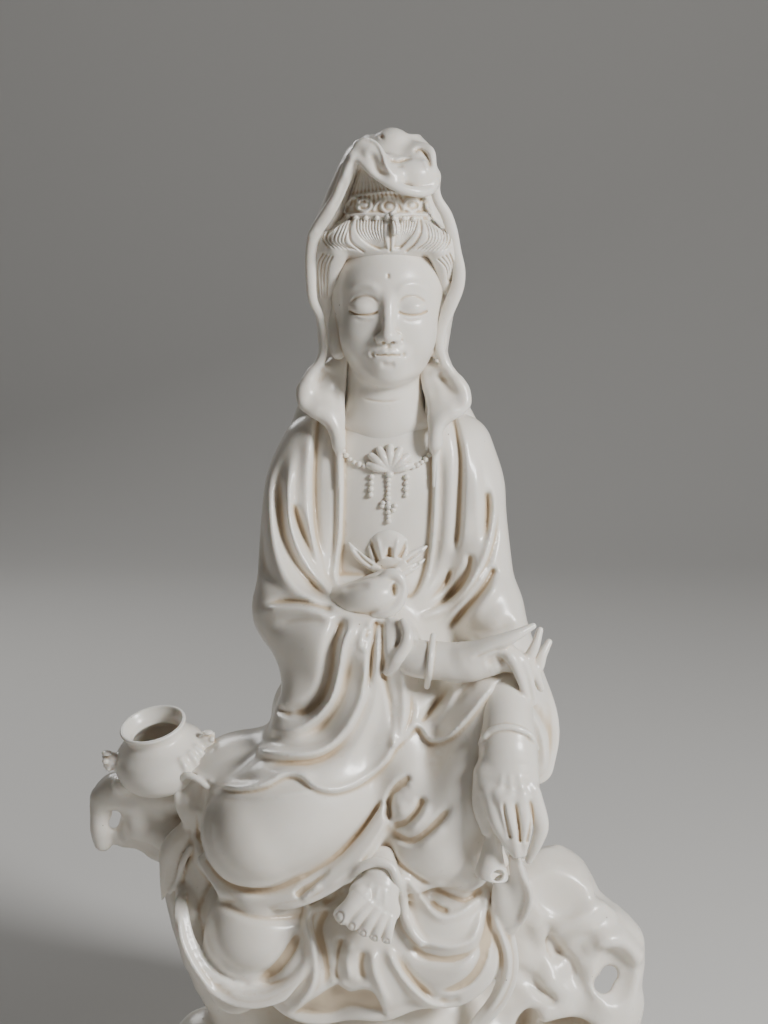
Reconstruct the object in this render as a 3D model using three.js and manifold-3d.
// Porcelain figure of Guanyin seated at ease on pierced rockwork, with a small jar on the ledge beside it.
// It faces the viewer along -Y, X runs to the viewer's right and Z is up. Sizes are in millimetres.
import * as THREE from "three";
import { LoftGeometry } from "three/addons/geometries/LoftGeometry.js";
import { ImprovedNoise } from "three/addons/math/ImprovedNoise.js";
import { mergeVertices } from "three/addons/utils/BufferGeometryUtils.js";
import Module from "manifold-3d";

// Driving sizes
const HEIGHT = 430; // underside of the rock to the top of the veil
const JAR = {
  bodyRadius: 21,
  bodyHeight: 31,
  mouthRadius: 13.5,
  neckHeight: 4.5,
  footRadius: 11,
  wall: 2.2,
  lugRadius: 4,
  leanLeft: 14, // degrees
  leanForward: 12, // degrees
};
const JOINT_GAP = 0.3; // the luting line between the jar and its ledge
const GLAZE = { color: 0xece6da, roughness: 0.35, metalness: 0 };

// The figure and its rock keep their proportions: their places and radii are in thousandths of HEIGHT.
const unit = HEIGHT / 1000;
const at = ([x, y, z]) => new THREE.Vector3(x, y, z).multiplyScalar(unit);
const { clamp, lerp, degToRad } = THREE.MathUtils;

const wasm = await Module();
wasm.setup();
const { Manifold, Mesh: SolidMesh } = wasm;

// A closed geometry as a solid, once its shared vertices are merged.
function solid(geometry) {
  const plain = new THREE.BufferGeometry();
  plain.setAttribute("position", geometry.attributes.position);
  plain.setIndex(geometry.index);
  const merged = mergeVertices(plain, 1e-3);
  const made = new Manifold(
    new SolidMesh({
      numProp: 3,
      vertProperties: merged.attributes.position.array,
      triVerts: new Uint32Array(merged.index.array),
    }),
  );
  if (made.volume() < 0) throw new Error("a solid is inside out");
  return made;
}

const join = (solids) => Manifold.union(solids);

// A value along a limb from a few stated ones: t is 0 at its start and 1 at its end.
function along(values, t) {
  const list = [values, values].flat();
  const place = clamp(t, 0, 1) * (list.length - 1);
  const low = Math.min(Math.floor(place), list.length - 2);
  return lerp(list[low], list[low + 1], place - low);
}

// A rounded limb along a curve. flat squeezes it towards the viewer, blunt squares its ends.
function limb(points, radii, { sides = 8, rings = 6, flat = 1, blunt = 0.55, rough = 0 } = {}) {
  const spine = new THREE.CatmullRomCurve3(points.map(at), false, "centripetal");
  const noise = new ImprovedNoise();
  const sections = [];
  for (let i = 0; i <= rings; i++) {
    const t = (1 - Math.cos((Math.PI * i) / rings)) / 2;
    const tip = Math.max(0.3, Math.sin((Math.PI * i) / rings) ** blunt);
    const radius = along(radii, t) * unit * tip;
    const centre = spine.getPoint(t);
    const tangent = spine.getTangent(t);
    const side = new THREE.Vector3().crossVectors(tangent, new THREE.Vector3(0, -1, 0));
    if (side.length() < 0.2) side.set(1, 0, 0);
    side.normalize();
    const normal = new THREE.Vector3().crossVectors(side, tangent);
    const ring = [];
    for (let j = 0; j < sides; j++) {
      const angle = (-2 * Math.PI * (j + 0.5)) / sides;
      const out = side.clone().multiplyScalar(Math.cos(angle));
      out.addScaledVector(normal, Math.sin(angle) * flat);
      const place = out.clone().multiplyScalar(radius).add(centre).divideScalar(unit * ROCK_GRAIN);
      const lump = 1 + rough * noise.noise(place.x, place.y, place.z);
      ring.push(centre.clone().addScaledVector(out, radius * lump));
    }
    sections.push(ring);
  }
  return solid(new LoftGeometry(sections, { capStart: true, capEnd: true }));
}

// An ellipsoid, turned about the viewing direction by roll degrees.
function blob(centre, radii, { roll = 0, sides = 8, rings = 6 } = {}) {
  const geometry = new THREE.SphereGeometry(1, sides, rings);
  geometry.rotateX(Math.PI / 2);
  geometry.scale(...radii.map((r) => r * unit));
  geometry.rotateY(degToRad(roll));
  const { x, y, z } = at(centre);
  geometry.translate(x, y, z);
  return solid(geometry);
}

// Soft masses under the cloth, as a field that is below zero inside them, in thousandths of HEIGHT.
const chain = (points, radii) => ({ points, radii });
const egg = (centre, radii) => ({ centre, radii });

function depthInside(mass, p) {
  if (mass.centre) {
    const [x, y, z] = p.map((v, i) => (v - mass.centre[i]) / mass.radii[i]);
    const size = Math.hypot(x, y, z);
    const slope = Math.hypot(x / mass.radii[0], y / mass.radii[1], z / mass.radii[2]);
    return (size * (size - 1)) / Math.max(slope, 1e-6);
  }
  let best = Infinity;
  for (let i = 0; i + 1 < mass.points.length; i++) {
    const [a, b] = [mass.points[i], mass.points[i + 1]];
    const run = b.map((v, k) => v - a[k]);
    const off = p.map((v, k) => v - a[k]);
    const dot = run[0] * off[0] + run[1] * off[1] + run[2] * off[2];
    const t = clamp(dot / Math.hypot(...run) ** 2, 0, 1);
    const far = Math.hypot(off[0] - t * run[0], off[1] - t * run[1], off[2] - t * run[2]);
    best = Math.min(best, far - lerp(mass.radii[i], mass.radii[i + 1], t));
  }
  return best;
}

// Masses run into one another over a width of blend.
function field(masses, blend, p) {
  let value = Infinity;
  for (const mass of masses) {
    const next = depthInside(mass, p);
    const h = Math.max(blend - Math.abs(value - next), 0) / blend;
    value = Math.min(value, next) - (value === Infinity ? 0 : (h * h * blend) / 4);
  }
  return value;
}

const REACH = 330; // farther out than any part of the figure
const FAR = 200; // farther to the front and back than any part of it

// Where a line along Y first meets a field: way is 1 from the front and -1 from behind.
function surface(value, x, z, way) {
  let y = -way * FAR;
  for (let d = value([x, y, z]); d > 0; d = value([x, y, z])) {
    y += way * Math.max(d * 0.7, 1);
    if (way * y > FAR) return null;
  }
  let outside = y - way * 2;
  for (let n = 0; n < 6; n++) {
    const middle = (outside + y) / 2;
    if (value([x, middle, z]) > 0) outside = middle;
    else y = middle;
  }
  return y;
}

// The outermost place across at which a field is met at one height.
function edge(value, z, way) {
  const step = 6;
  let x = way * REACH;
  while (surface(value, x, z, 1) === null) {
    x -= way * step;
    if (way * x < -REACH) throw new Error(`the field is empty at height ${z}`);
  }
  let outside = x + way * step;
  for (let n = 0; n < 6; n++) {
    const middle = (outside + x) / 2;
    if (surface(value, middle, z, 1) === null) outside = middle;
    else x = middle;
  }
  return x;
}

// The skin of a field from bottom to top: each row is a loop of points found from the front and from behind.
function skin(value, { bottom, top, rows, across, behind }) {
  const web = 8; // half the thickness of the web that closes a gap between masses
  const sections = [];
  for (let i = 0; i <= rows; i++) {
    const z = lerp(bottom, top, i / rows);
    const [left, right] = [edge(value, z, -1), edge(value, z, 1)];
    const spread = (u) => lerp(left, right, lerp(u, (1 - Math.cos(Math.PI * u)) / 2, 0.6));
    const ring = [];
    for (let j = 0; j <= across; j++) {
      const x = spread(j / across);
      ring.push(at([x, surface(value, x, z, 1) ?? -web, z]));
    }
    for (let j = behind - 1; j > 0; j--) {
      const x = spread(j / behind);
      ring.push(at([x, surface(value, x, z, -1) ?? web, z]));
    }
    sections.push(ring);
  }
  // Each end closes towards a small round eye just beyond it, so that its flat cap is simple.
  const eye = (ring, beyond) => {
    const centre = ring.reduce((sum, p) => sum.add(p), new THREE.Vector3()).divideScalar(ring.length);
    return ring.map((_, j) => {
      const turn = Math.PI * (j <= across ? 1 + j / across : 2 + (j - across) / behind);
      return at([3 * Math.cos(turn), 3 * Math.sin(turn), beyond]).add(centre);
    });
  };
  const loops = [eye(sections[0], -6), ...sections, eye(sections.at(-1), 6)];
  return solid(new LoftGeometry(loops, { capStart: true, capEnd: true }));
}

const CLOTH = [
  // torso, shoulders and upper arms
  egg([2, 24, 628], [86, 58, 112]),
  egg([2, 18, 505], [88, 62, 92]),
  egg([-6, -4, 415], [108, 80, 72]),
  chain([[-64, 22, 679], [4, 26, 693], [72, 22, 679]], [30, 40, 30]),
  chain([[3, 22, 726], [4, 26, 684]], [30, 44]),
  chain([[-66, 18, 682], [-84, 6, 611], [-92, -14, 533]], [30, 34, 37]),
  chain([[76, 18, 682], [90, 8, 610], [101, -6, 526]], [30, 33, 34]),
  // sleeve of the right arm, and its bag
  chain([[-96, -24, 515], [-53, -60, 503], [14, -84, 497]], [36, 37, 24]),
  chain([[-83, -40, 498], [-77, -54, 451], [-83, -58, 406]], [30, 30, 34]),
  chain([[-53, -60, 493], [-38, -72, 445], [-43, -76, 396]], [30, 30, 30]),
  // sleeve of the left arm
  chain(
    [[108, -20, 524], [123, -48, 459], [148, -64, 408], [157, -68, 368], [155, -70, 343]],
    [26, 32, 28, 16, 6],
  ),
  // lap, thighs and knees
  chain([[1, -20, 358], [-68, -76, 345], [-120, -92, 317]], [58, 68, 60]),
  chain([[-84, -40, 375], [-154, -50, 357], [-192, -52, 352]], [30, 24, 10]),
  chain([[47, 10, 370], [95, -60, 427], [113, -84, 434]], [58, 46, 38]),
  chain([[111, -84, 444], [88, -98, 372], [55, -100, 317], [12, -104, 276]], [38, 48, 44, 26]),
  // skirt below
  chain([[-195, -40, 333], [-194, -42, 260], [-190, -48, 199], [-155, -50, 135]], [18, 22, 22, 26]),
  egg([-122, -80, 211], [60, 46, 50]),
  egg([-74, -70, 176], [70, 46, 70]),
  egg([52, -66, 190], [72, 44, 76]),
  egg([-14, 0, 213], [150, 70, 140]),
];

const robeValue = (p) => field(CLOTH, 20, p);
const robe = () => skin(robeValue, { bottom: 110, top: 746, rows: 23, across: 19, behind: 5 });

// A place on the robe, given across and up, and how far it stands out: way is 1 in front and -1 behind.
const onRobe = ([x, z], out = 0, way = 1) => [x, surface(robeValue, x, z, way) - way * out, z];

const FRONT_FOLDS = [
  // opening of the robe over the inner garment
  [[[-47, 717], [-44, 638], [-48, 579], [-43, 552], [-16, 551]], 7],
  [[[52, 717], [50, 638], [47, 584], [35, 555], [14, 529]], 7],
  [[[69, 707], [69, 638], [63, 579], [30, 529]], 8],
  // robe over the right arm
  [[[-95, 680], [-109, 631], [-102, 577], [-55, 539]], 10],
  [[[-127, 527], [-92, 535], [-45, 534]], 10],
  // robe over the left arm
  [[[99, 680], [105, 605], [89, 556], [45, 527]], 10],
  [[[119, 565], [97, 534], [59, 505]], 8],
  // tails from the knot down across the lap
  [[[-33, 523], [-45, 482], [-60, 447], [-106, 421]], 9],
  [[[-19, 521], [-31, 471], [-45, 427], [-92, 396]], 9],
  [[[4, 524], [-4, 470], [-12, 418], [-33, 386]], 9],
  [[[27, 523], [18, 493], [8, 460], [20, 408]], 8],
  // hem of the robe over the thigh, and under the right forearm
  [[[20, 404], [-4, 385], [-44, 371], [-87, 383], [-143, 368], [-193, 357]], 8],
  [[[30, 404], [60, 410], [81, 433], [101, 456]], 7],
  // creases of the skirt at the shin
  [[[-2, 311], [19, 284], [52, 266], [86, 255]], 8],
  // loops of the skirt between the feet
  [[[14, 272], [26, 228], [55, 204], [83, 220], [100, 257]], 9],
  [[[4, 207], [30, 162], [63, 141], [98, 184], [115, 241]], 9],
  // skirt below the foot and under the thigh
  [[[-55, 258], [-70, 227], [-67, 179], [-83, 134]], 9],
  [[[-31, 215], [-37, 179], [-6, 148]], 8],
  [[[-181, 279], [-184, 233], [-175, 186], [-147, 148]], 10],
  [[[-156, 269], [-154, 227], [-120, 171], [-79, 175]], 9],
];

// Broad folds that fall down the back
const BACK_FOLDS = [
  [[[-66, 670], [-80, 520], [-70, 400], [-90, 270]], 16],
  [[[-14, 700], [-12, 540], [-22, 400], [-24, 220]], 16],
  [[[44, 690], [52, 520], [40, 400], [56, 260]], 16],
];

function folds() {
  const lay = (way) => ([places, radius]) =>
    limb(
      places.map((place) => onRobe(place, 0, way)),
      [radius],
      { sides: 5, rings: places.length, flat: 0.9 },
    );
  return join([...FRONT_FOLDS.map(lay(1)), ...BACK_FOLDS.map(lay(-1))]);
}

// Head, hair and topknot

const HEAD = [
  egg([4, 8, 841], [56, 62, 62]),
  egg([4, -10, 803], [47, 44, 58]),
  egg([4, -30, 764], [18, 16, 16]),
  egg([2, 2, 894], [60, 58, 32]),
  chain([[3, 0, 905], [4, 8, 962]], [48, 36]),
];

const DIADEM = [[-48, -36, 905], [-23, -50, 915], [4, -54, 919], [29, -50, 917], [52, -36, 907]];

// The face keeps plain even proportions: lids at half its height, the nose a quarter lower, then the mouth.
const FACE = { top: 883, chin: 755, middle: 4, front: -54 };

function features() {
  const { top, chin, middle, front } = FACE;
  const height = (share) => lerp(chin, top, share);
  const nose = [
    [middle, front, height(0.62)],
    [middle, front - 6, height(0.42)],
    [middle, front - 9, height(0.35)],
  ];
  return join([
    limb(nose, [3, 6, 9], { sides: 5, rings: 3 }),
    blob([middle - 23, front + 10, height(0.57)], [15, 8, 7], { sides: 6, rings: 4 }),
    blob([middle + 23, front + 10, height(0.57)], [15, 8, 7], { sides: 6, rings: 4 }),
    blob([middle, front + 2, height(0.2)], [12, 8, 5], { sides: 6, rings: 4 }),
  ]);
}

function head() {
  const value = (p) => field(HEAD, 10, p);
  return join([
    skin(value, { bottom: 752, top: 984, rows: 12, across: 8, behind: 3 }),
    features(),
    limb(DIADEM, [4, 9, 12, 9, 4], { sides: 5, rings: 5 }),
    limb([[2, 18, 781], [3, 22, 720]], [36, 35], { rings: 3, blunt: 0.2 }),
    limb([[-50, -5, 817], [-50, -6, 788], [-50, -8, 767]], [7, 8, 7], { sides: 5, rings: 3 }),
    limb([[56, -5, 817], [54, -6, 788], [51, -8, 767]], [7, 8, 7], { sides: 5, rings: 3 }),
  ]);
}

// Veil over the topknot: a hood opened in front, with a rolled hem.
function veil() {
  const outline = [
    // left edge, right edge, near face, far face
    [[-96, 10, 699], [98, 10, 699], 4, 84],
    [[-86, 10, 727], [84, 10, 727], -18, 88],
    [[-65, 10, 776], [63, 10, 776], -14, 84],
    [[-68, 10, 813], [69, 10, 813], -14, 84],
    [[-76, 10, 855], [80, 10, 855], -20, 82],
    [[-75, 10, 894], [71, 10, 894], -26, 78],
    [[-60, 10, 928], [55, 10, 928], -34, 70],
    [[-47, 10, 957], [51, 10, 957], -38, 60],
    [[-35, 10, 981], [47, 10, 979], -32, 48],
    [[-12, 10, 990], [30, 10, 990], -14, 30],
  ];
  const sides = 11;
  const sections = outline.map(([left, right, near, far]) => {
    const ring = [];
    for (let j = 0; j < sides; j++) {
      const angle = (2 * Math.PI * j) / sides;
      const x = (left[0] + right[0]) / 2 + ((right[0] - left[0]) / 2) * Math.cos(angle);
      const y = (near + far) / 2 + ((far - near) / 2) * Math.sin(angle);
      ring.push(at([x, y, left[2]]));
    }
    return ring;
  });
  const opening = join([
    blob([1, -62, 850], [66, 76, 78], { sides: 10, rings: 8 }),
    limb([[0, -60, 807], [0, -50, 758], [2, -50, 710]], [62, 52, 50], { rings: 6 }),
    limb([[-6, -58, 893], [-11, -56, 926], [-19, -56, 954]], [60, 40, 14], { rings: 6 }),
  ]);
  const hem = (points, radii) => limb(points, radii, { sides: 5, rings: 7, blunt: 0.3 });
  return join([
    solid(new LoftGeometry(sections, { capStart: true, capEnd: true })).subtract(opening),
    hem(
      [
        [-83, -12, 738],
        [-71, -14, 766],
        [-63, -14, 798],
        [-71, -18, 833],
        [-73, -22, 881],
        [-60, -30, 920],
      ],
      [9, 8, 8],
    ),
    hem(
      [
        [-64, -28, 910],
        [-48, -38, 945],
        [-32, -42, 977],
        [-19, -46, 983],
        [-4, -52, 969],
        [9, -58, 951],
        [27, -56, 940],
        [44, -48, 938],
      ],
      [9, 9, 7, 6, 8, 9],
    ),
    hem(
      [
        [40, -22, 977],
        [48, -34, 958],
        [54, -34, 925],
        [66, -26, 891],
        [74, -20, 852],
        [63, -16, 811],
        [61, -14, 779],
        [77, -12, 736],
      ],
      [9, 8, 8],
    ),
    blob([9, -6, 977], [22, 22, 23]),
    blob([25, -32, 958], [28, 26, 22], { roll: 15, sides: 7, rings: 5 }),
  ]);
}

// The robe's wide collar, turned back from the neck.
function collar() {
  const turn = (points, radii) => limb(points, radii, { sides: 8, rings: 6, flat: 0.6, blunt: 0.4 });
  return join([
    turn([[-45, 0, 764], [-65, -12, 739], [-59, -24, 714], [-48, -34, 686]], [10, 18, 14, 8]),
    turn([[47, 0, 766], [67, -12, 741], [65, -24, 716], [53, -34, 686]], [10, 18, 14, 8]),
  ]);
}

// Necklace, belt and knot

function ornaments() {
  const lay = (places, radii, out = 2) =>
    limb(
      places.map((place) => onRobe(place, out)),
      [radii].flat(),
      { sides: 5, rings: 3, blunt: 0.3 },
    );
  return join([
    lay([[-38, 686], [-28, 678], [-12, 673]], 4.5),
    lay([[21, 673], [37, 677], [47, 686]], 4.5),
    blob(onRobe([6, 678], 0), [21, 10, 15], { sides: 7, rings: 5 }),
    lay([[-12, 668], [-12, 643]], 4.5),
    lay([[5, 668], [5, 612]], 4.5),
    lay([[23, 668], [23, 641]], 4.5),
    // gather of the inner garment above the belt, and the belt's bow
    blob(onRobe([5, 594], 2), [21, 14, 19], { sides: 8, rings: 6 }),
    lay([[-31, 593], [-12, 579], [4, 573]], [4, 7, 7], 3),
    lay([[4, 573], [18, 579], [39, 590]], [7, 7, 4], 3),
    // the knot of the robe in front of the waist
    limb(
      [[-49, -56, 538], [-21, -76, 551], [4, -80, 554], [17, -76, 559]],
      [16, 21, 19, 13],
      { sides: 7, rings: 5 },
    ),
    limb([[8, -74, 570], [19, -80, 559], [14, -78, 545]], [9, 11, 9], { sides: 5, rings: 4 }),
  ]);
}

// Bare forearms, bracelets and hands

function hands() {
  const finger = (points, radii) => limb(points, radii, { sides: 5, rings: 3, blunt: 0.3 });
  return join([
    // right forearm across the waist, with its palm up
    limb(
      [[-4, -84, 497], [44, -96, 491], [81, -100, 489]],
      [22, 21, 17],
      { sides: 7, rings: 4, blunt: 0.3 },
    ),
    limb(
      [[68, -98, 490], [97, -102, 489], [126, -104, 490]],
      [19, 20, 14],
      { sides: 7, rings: 4, flat: 0.8 },
    ),
    limb([[42, -100, 516], [44, -118, 497], [43, -98, 470]], [5], { sides: 5, rings: 4, blunt: 0.3 }),
    finger([[92, -112, 496], [116, -112, 510], [138, -108, 522]], [11, 8, 5]),
    finger([[116, -112, 501], [127, -116, 485], [136, -112, 456]], [9, 8, 5]),
    finger([[123, -108, 505], [136, -112, 488], [145, -106, 457]], [9, 8, 5]),
    finger([[133, -100, 463], [144, -100, 489], [143, -96, 516]], [9, 8, 5]),
    finger([[139, -96, 462], [151, -94, 485], [162, -90, 503]], [9, 8, 5]),
    // left forearm over the raised knee, with its hand hanging down
    limb(
      [[117, -92, 451], [121, -122, 429], [122, -140, 400]],
      [30, 28, 26],
      { sides: 7, rings: 4, blunt: 0.3 },
    ),
    limb(
      [[121, -136, 419], [122, -146, 382], [124, -148, 346]],
      [25, 31, 24],
      { sides: 7, rings: 4, flat: 0.72 },
    ),
    limb([[91, -140, 427], [114, -158, 441], [143, -140, 421]], [6], { sides: 5, rings: 5, blunt: 0.3 }),
    finger([[101, -150, 368], [112, -154, 335], [122, -150, 307]], [10, 9, 6]),
    finger([[116, -156, 363], [121, -156, 331], [125, -150, 303]], [9, 8, 5]),
    finger([[129, -154, 362], [132, -152, 334], [130, -146, 311]], [9, 8, 6]),
    finger([[143, -148, 368], [148, -146, 339], [136, -140, 307]], [9, 9, 5]),
    finger([[95, -140, 385], [97, -138, 355], [102, -134, 328]], [12, 11, 8]),
    // neck of the flask that the hanging hand holds, and the cloth that falls behind it
    limb(
      [[109, -130, 347], [109, -130, 320], [105, -132, 294]],
      [15, 13, 24],
      { sides: 7, rings: 4, blunt: 0.2 },
    ),
    limb(
      [[127, -116, 321], [143, -84, 254], [126, -76, 210], [133, -66, 147]],
      [16, 16, 14, 16],
      { sides: 6, rings: 5 },
    ),
  ]);
}

function foot() {
  const toe = (root, tip, radius) => limb([root, tip], [radius], { sides: 5, rings: 3, blunt: 0.35 });
  return join([
    limb(
      [[8, -112, 293], [0, -132, 267], [-15, -140, 245]],
      [20, 28, 26],
      { sides: 7, rings: 4, flat: 0.7 },
    ),
    toe([-23, -146, 267], [-42, -148, 248], 10),
    toe([-13, -148, 260], [-31, -150, 237], 8),
    toe([-6, -148, 254], [-19, -150, 228], 7.5),
    toe([3, -146, 249], [-8, -148, 223], 7),
    toe([11, -144, 246], [4, -146, 223], 6.5),
  ]);
}

// Rock

const ROCK_GRAIN = 38; // size of its lumps

function rock() {
  const crag = (points, radii, rings = 6) => limb(points, radii, { rings, rough: 0.3, blunt: 0.4 });
  const mass = join([
    limb(
      [[17, 50, 249], [6, 44, 129], [5, 40, 10]],
      [120, 150, 190],
      { sides: 10, rings: 5, flat: 0.62, blunt: 0.3 },
    ),
    crag([[-184, 10, 40], [20, -20, 40], [240, 0, 40]], [72, 100, 80], 7),
    crag([[90, 0, 60], [150, 0, 110], [190, 0, 60]], [50, 60, 50], 5),
    crag(
      [[116, 14, 191], [168, 6, 224], [197, 0, 204], [222, -6, 161], [237, -6, 106], [222, -6, 40]],
      [50, 48, 36, 36, 42, 56],
      8,
    ),
    crag([[141, 0, 147], [175, -4, 105], [150, -8, 40]], [44, 30, 50]),
    crag([[-139, 16, 261], [-200, 6, 284], [-261, 0, 301], [-285, -4, 298]], [44, 36, 32, 24], 7),
  ]);
  const tunnel = (points, radii) => limb(points, radii, { rings: 4, blunt: 0.2 });
  const holes = join([
    tunnel([[219, -120, 180], [232, 0, 128], [246, 120, 75]], [22, 14, 22]),
    tunnel([[-266, -80, 323], [-277, 0, 295], [-288, 80, 266]], [15, 8, 14]),
  ]);
  const below = new THREE.BoxGeometry(HEIGHT * 2, HEIGHT * 2, HEIGHT);
  below.translate(0, 0, -HEIGHT / 2);
  return mass.subtract(holes).subtract(solid(below));
}

// Jar on the ledge, thrown hollow with an open mouth and a lug on each side.
const JAR_FOOT = [-220, -14, 325];

function standJar(geometry) {
  geometry.rotateX(degToRad(JAR.leanForward));
  geometry.rotateY(degToRad(-JAR.leanLeft));
  const { x, y, z } = at(JAR_FOOT);
  return solid(geometry.translate(x, y, z));
}

// The jar's outside as radius and height, widened by extra.
function jarOutside(extra = 0) {
  const { bodyRadius, bodyHeight, mouthRadius, neckHeight, footRadius, wall } = JAR;
  return [
    [footRadius + extra, -extra],
    [bodyRadius * 0.88 + extra, bodyHeight * 0.24],
    [bodyRadius + extra, bodyHeight * 0.54],
    [bodyRadius * 0.9 + extra, bodyHeight * 0.8],
    [mouthRadius + extra, bodyHeight],
    [mouthRadius + wall / 2 + extra, bodyHeight + neckHeight],
  ];
}

function turned(profile) {
  const geometry = new THREE.LatheGeometry(
    profile.map(([radius, height]) => new THREE.Vector2(radius, height)),
    18,
  );
  return standJar(geometry.rotateX(Math.PI / 2));
}

function jar() {
  const { bodyRadius, bodyHeight, neckHeight, wall, lugRadius } = JAR;
  const outside = jarOutside();
  const inside = outside.map(([radius, height]) => [radius - wall, height + wall]).reverse();
  inside[0] = [outside.at(-1)[0] - wall, bodyHeight + neckHeight];
  const lug = (side) => {
    const ball = new THREE.SphereGeometry(lugRadius, 8, 6);
    ball.translate(side * (bodyRadius - wall / 2 + lugRadius / 2), 0, bodyHeight * 0.66);
    return standJar(ball);
  };
  const body = turned([[0, 0], ...outside, ...inside, [0, wall]]);
  const cavity = turned([[0, wall], ...inside.toReversed(), [0, bodyHeight + neckHeight]]);
  return join([body, join([lug(-1), lug(1)]).subtract(cavity)]);
}

// The space that the jar takes, with the luting line round it.
function jarPocket() {
  return turned([[0, -JOINT_GAP], ...jarOutside(JOINT_GAP), [0, JAR.bodyHeight + JAR.neckHeight]]);
}

const figure = join([robe(), folds(), head(), veil(), collar(), ornaments(), hands(), foot(), rock()]);
const nodes = {
  figure_and_rock: figure.subtract(jarPocket()),
  jar: jar(),
};

const group = new THREE.Group();
for (const [name, made] of Object.entries(nodes)) {
  const { numProp, vertProperties, triVerts } = made.getMesh();
  const geometry = new THREE.BufferGeometry();
  geometry.setAttribute("position", new THREE.BufferAttribute(vertProperties, numProp));
  geometry.setIndex(new THREE.BufferAttribute(triVerts, 1));
  const mesh = new THREE.Mesh(geometry, new THREE.MeshStandardMaterial(GLAZE));
  mesh.name = name;
  group.add(mesh);
}

export default group;
